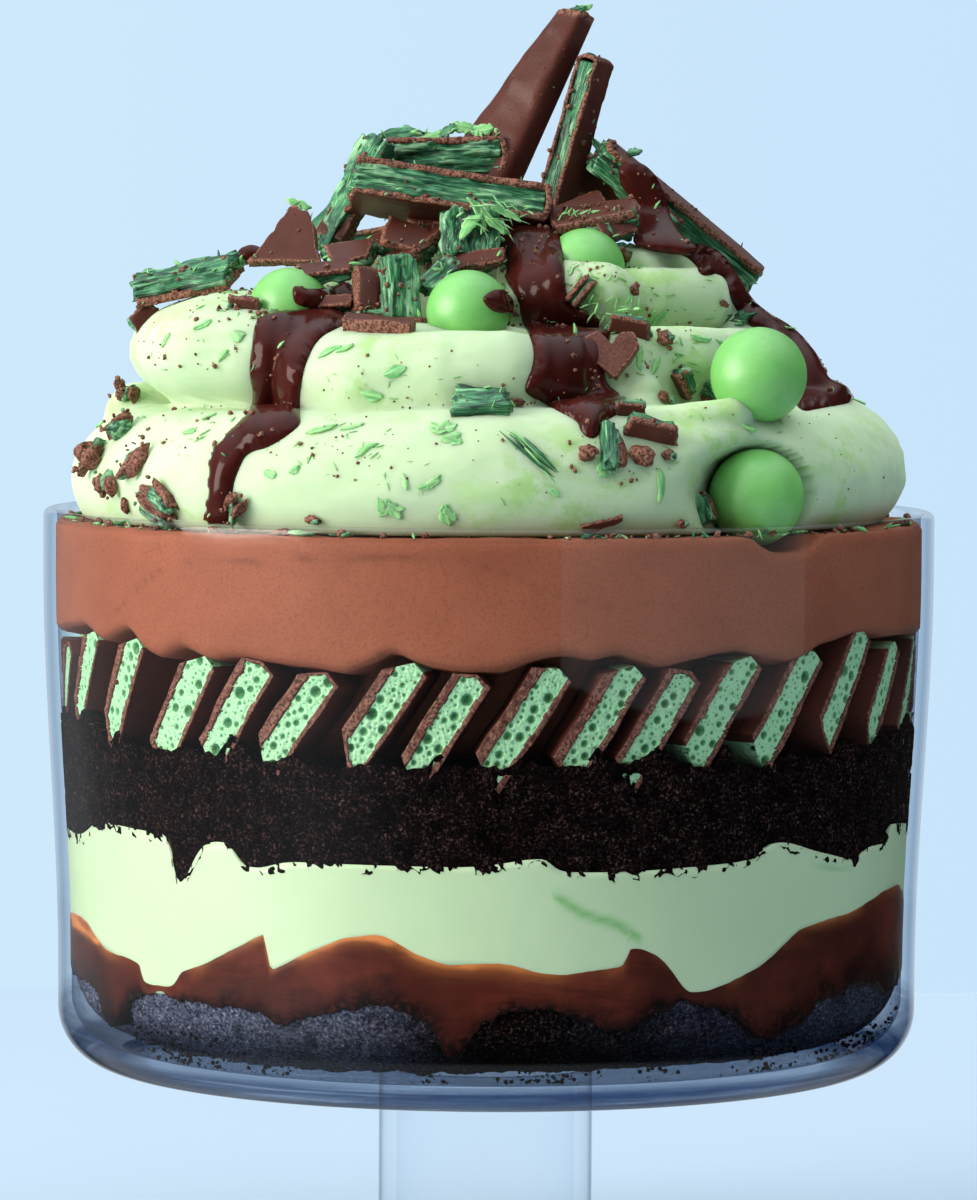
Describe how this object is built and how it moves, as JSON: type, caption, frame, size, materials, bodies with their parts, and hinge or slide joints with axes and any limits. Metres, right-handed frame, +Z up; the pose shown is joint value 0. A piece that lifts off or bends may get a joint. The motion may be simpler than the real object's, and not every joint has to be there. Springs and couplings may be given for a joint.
{
  "type": "trifle",
  "caption": "Layered mint and chocolate trifle in a footed glass bowl, with cake, caramel, custard, mousse, upright mint slices and a mound of whipped cream with sweets on top.",
  "frame": {"origin": "centre of the underside of the bowl's foot", "axes": "+Z up through the stem, -Y towards the front of the dessert, +X to its right as seen from the front"},
  "size_m": [0.224, 0.224, 0.3263],
  "materials": {
    "glass": "clear, polished",
    "cake": "dark moist crumb",
    "caramel": "soft gloss",
    "custard": "smooth, satin",
    "mousse": "fine matte foam",
    "cream": "smooth, satin",
    "mint_bar": "bubbly foam between thin coats",
    "mint_piece": "fibrous break between thin coats",
    "chocolate": "satin",
    "sweet_shell": "polished sugar shell"
  },
  "bodies": {
    "root": {"glass_bowl": "glass", "cake_base": "cake", "caramel": "caramel", "custard": "custard", "cake_mid": "cake", "mousse": "mousse", "cream": "cream", "mint_bar_01": "mint_bar", "mint_bar_02": "mint_bar", "mint_bar_03": "mint_bar", "mint_bar_04": "mint_bar", "mint_bar_05": "mint_bar", "mint_bar_06": "mint_bar", "mint_bar_07": "mint_bar", "mint_bar_08": "mint_bar", "mint_bar_09": "mint_bar", "mint_bar_10": "mint_bar", "mint_bar_11": "mint_bar", "mint_bar_12": "mint_bar", "mint_bar_13": "mint_bar", "mint_bar_14": "mint_bar", "mint_bar_15": "mint_bar", "mint_bar_16": "mint_bar", "mint_bar_17": "mint_bar", "mint_bar_18": "mint_bar", "mint_bar_19": "mint_bar", "mint_bar_20": "mint_bar", "mint_bar_21": "mint_bar", "mint_bar_22": "mint_bar", "mint_bar_23": "mint_bar", "mint_bar_24": "mint_bar", "mint_bar_25": "mint_bar", "mint_bar_26": "mint_bar", "mint_bar_27": "mint_bar", "mint_bar_28": "mint_bar", "mint_bar_29": "mint_bar", "ball_a": "sweet_shell", "ball_b": "sweet_shell", "ball_c": "sweet_shell", "ball_d": "sweet_shell", "ball_e": "sweet_shell", "ball_f": "sweet_shell", "piece_tall": "chocolate", "piece_tall_thin": "mint_piece", "piece_right_long": "mint_piece", "piece_right_back": "mint_piece", "piece_wide": "mint_piece", "piece_wide_back": "mint_piece", "piece_left_lean": "mint_piece", "chunk_mid": "mint_piece", "piece_mid_right": "mint_piece", "stub_upright": "mint_piece", "slab_far_left": "mint_piece", "chip_front": "mint_piece", "slab_back": "mint_piece", "piece_back": "mint_piece", "plate_left": "chocolate", "plate_mid": "chocolate", "chip_notched": "chocolate"}
  },
  "joints": []
}
